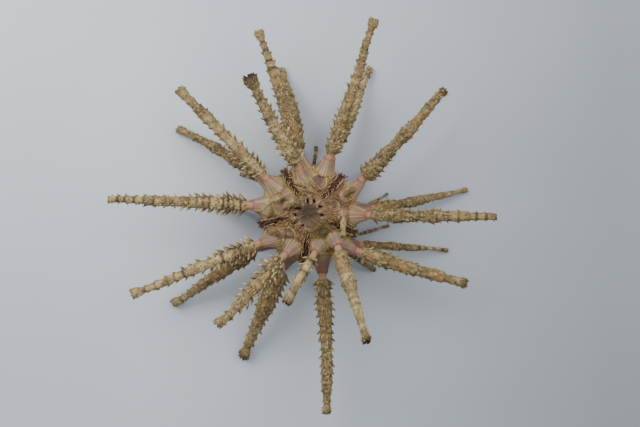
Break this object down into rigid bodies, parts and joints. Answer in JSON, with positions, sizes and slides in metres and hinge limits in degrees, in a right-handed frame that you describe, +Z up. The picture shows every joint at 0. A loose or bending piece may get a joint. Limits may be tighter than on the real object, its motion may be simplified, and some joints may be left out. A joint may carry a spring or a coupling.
{
  "type": "sea urchin",
  "caption": "Life-size thorny pencil urchin: round test with long thorned spines, resting on the tips of its lower spines.",
  "frame": {"origin": "on the floor, under the middle of the whole animal's bounding box", "axes": "+Z up from the floor through the vent on top; +X to the right and +Y away from a viewer who looks straight down as the picture does"},
  "size_m": [0.1388, 0.1426, 0.0469],
  "materials": {
    "spiny_plates": "matt, chalky, overgrown",
    "furrow": "matt, dark reddish brown with cream tips",
    "top_disc": "satin, mauve brown plates with cream rims",
    "mouth": "satin, damp skin with ivory teeth"
  },
  "bodies": {
    "root": {"interambulacrum_1": "spiny_plates", "interambulacrum_2": "spiny_plates", "interambulacrum_3": "spiny_plates", "interambulacrum_4": "spiny_plates", "interambulacrum_5": "spiny_plates", "ambulacrum_1": "furrow", "ambulacrum_2": "furrow", "ambulacrum_3": "furrow", "ambulacrum_4": "furrow", "ambulacrum_5": "furrow", "apical_disc": "top_disc", "peristome": "mouth"}
  },
  "joints": []
}
